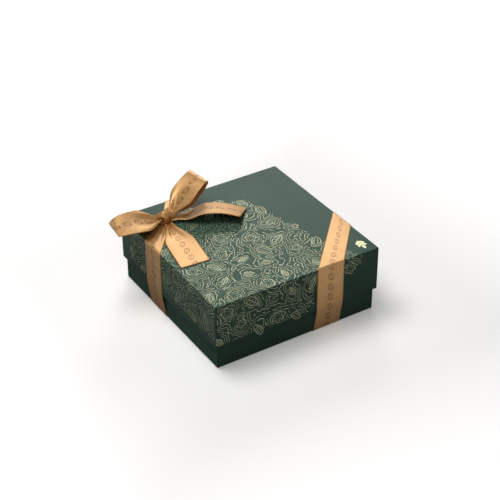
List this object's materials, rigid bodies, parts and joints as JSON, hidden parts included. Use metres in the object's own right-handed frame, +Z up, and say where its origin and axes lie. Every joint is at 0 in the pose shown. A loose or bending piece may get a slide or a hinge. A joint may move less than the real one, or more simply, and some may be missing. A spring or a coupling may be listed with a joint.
{
  "type": "chocolate box",
  "caption": "Square rigid gift box for chocolates with a deep lift-off lid, trays and pralines inside, and a satin ribbon slanting over two corners, tied in a bow",
  "frame": {"origin": "centre of the footprint, on the surface the box stands on", "axes": "+Z up, -Y out of the front side, -X out of the left side, +X along the front side"},
  "size_m": [0.1724, 0.1508, 0.0878],
  "materials": {
    "grey_board": "raw grey board",
    "stay_paper": "gummed kraft paper",
    "wrap_green": "satin coated deep green paper",
    "lining_cream": "uncoated cream paper",
    "satin_ribbon": "copper gold double-face satin",
    "tray_brown": "thin thermoformed film, semi-gloss",
    "cushion_paper": "embossed champagne paper",
    "layer_board": "gold-faced board",
    "dark_chocolate": "tempered dark chocolate",
    "milk_chocolate": "tempered milk chocolate",
    "white_chocolate": "tempered white chocolate",
    "cocoa_dusted": "cocoa-dusted chocolate"
  },
  "bodies": {
    "base": {"base_board": "grey_board", "base_corner_stays": "stay_paper", "base_wrap": "wrap_green", "base_lining": "lining_cream", "lower_tray": "tray_brown", "upper_tray": "tray_brown", "layer_pad": "layer_board", "lower_square_pralines": "milk_chocolate", "lower_dome_pralines": "dark_chocolate", "lower_oval_pralines": "white_chocolate", "lower_pyramid_pralines": "cocoa_dusted", "upper_square_pralines": "milk_chocolate", "upper_dome_pralines": "dark_chocolate", "upper_oval_pralines": "white_chocolate", "upper_pyramid_pralines": "cocoa_dusted", "ribbon_bottom_front": "satin_ribbon", "ribbon_bottom_back": "satin_ribbon", "ribbon_run_front": "satin_ribbon", "ribbon_run_right": "satin_ribbon", "ribbon_run_back": "satin_ribbon", "ribbon_run_left": "satin_ribbon"},
    "lid": {"lid_board": "grey_board", "lid_corner_stays": "stay_paper", "lid_wrap": "wrap_green", "lid_lining": "lining_cream", "lid_cushion_pad": "cushion_paper", "ribbon_top_right": "satin_ribbon", "ribbon_top_left": "satin_ribbon", "bow_knot": "satin_ribbon", "bow_loop_left": "satin_ribbon", "bow_loop_right": "satin_ribbon", "bow_tail_right": "satin_ribbon", "bow_tail_front": "satin_ribbon"}
  },
  "joints": [
    {"name": "lid_lift", "type": "slide", "parent": "base", "child": "lid", "axis": [0, 0, 1], "range_m": [0, 0.08], "deforming": ["ribbon_run_front", "ribbon_run_right", "ribbon_run_back", "ribbon_run_left"]}
  ]
}
